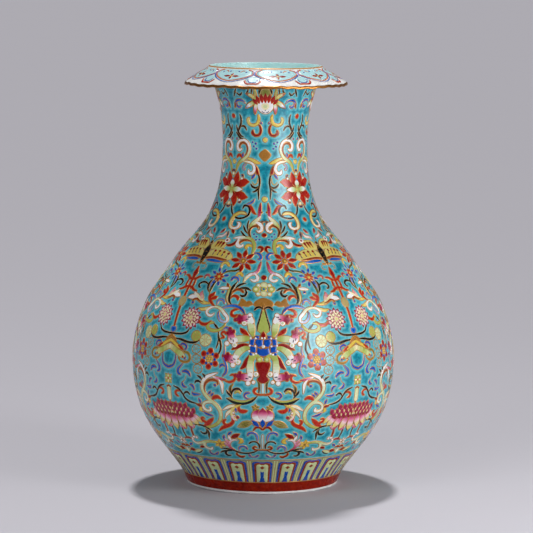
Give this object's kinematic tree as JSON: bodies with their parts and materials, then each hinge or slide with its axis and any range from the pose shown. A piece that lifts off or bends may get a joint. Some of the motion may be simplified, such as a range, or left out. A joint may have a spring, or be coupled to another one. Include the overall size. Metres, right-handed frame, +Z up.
{
  "type": "porcelain vase",
  "caption": "Tall pear-shaped porcelain vase with a narrow neck, a wide foliate mouth flange and enamelled flowers on turquoise; holds cut flowers or stands as an ornament.",
  "frame": {"origin": "centre of the foot ring's flat underside, on the surface the vase stands on", "axes": "+Z up along the axis the vase was thrown on, towards the mouth; -Y is the front, where the central lotus faces"},
  "size_m": [0.2188, 0.2188, 0.35],
  "materials": {
    "white_porcelain": "gloss",
    "turquoise_ground": "gloss",
    "turquoise_glaze": "gloss",
    "iron_red_enamel": "gloss",
    "lappet_enamel": "gloss",
    "gilding": "satin",
    "painted_enamels": "gloss"
  },
  "bodies": {
    "root": {"foot_ring": "white_porcelain", "lower_body": "turquoise_ground", "upper_body": "turquoise_ground", "neck": "turquoise_ground", "mouth_flange": "white_porcelain", "interior_glaze": "turquoise_glaze", "base_glaze": "turquoise_glaze", "red_foot_band": "iron_red_enamel", "lappet_band": "lappet_enamel", "gilt_foot_line": "gilding", "gilt_rim": "gilding", "gilt_mouth_line": "gilding"}
  },
  "joints": []
}
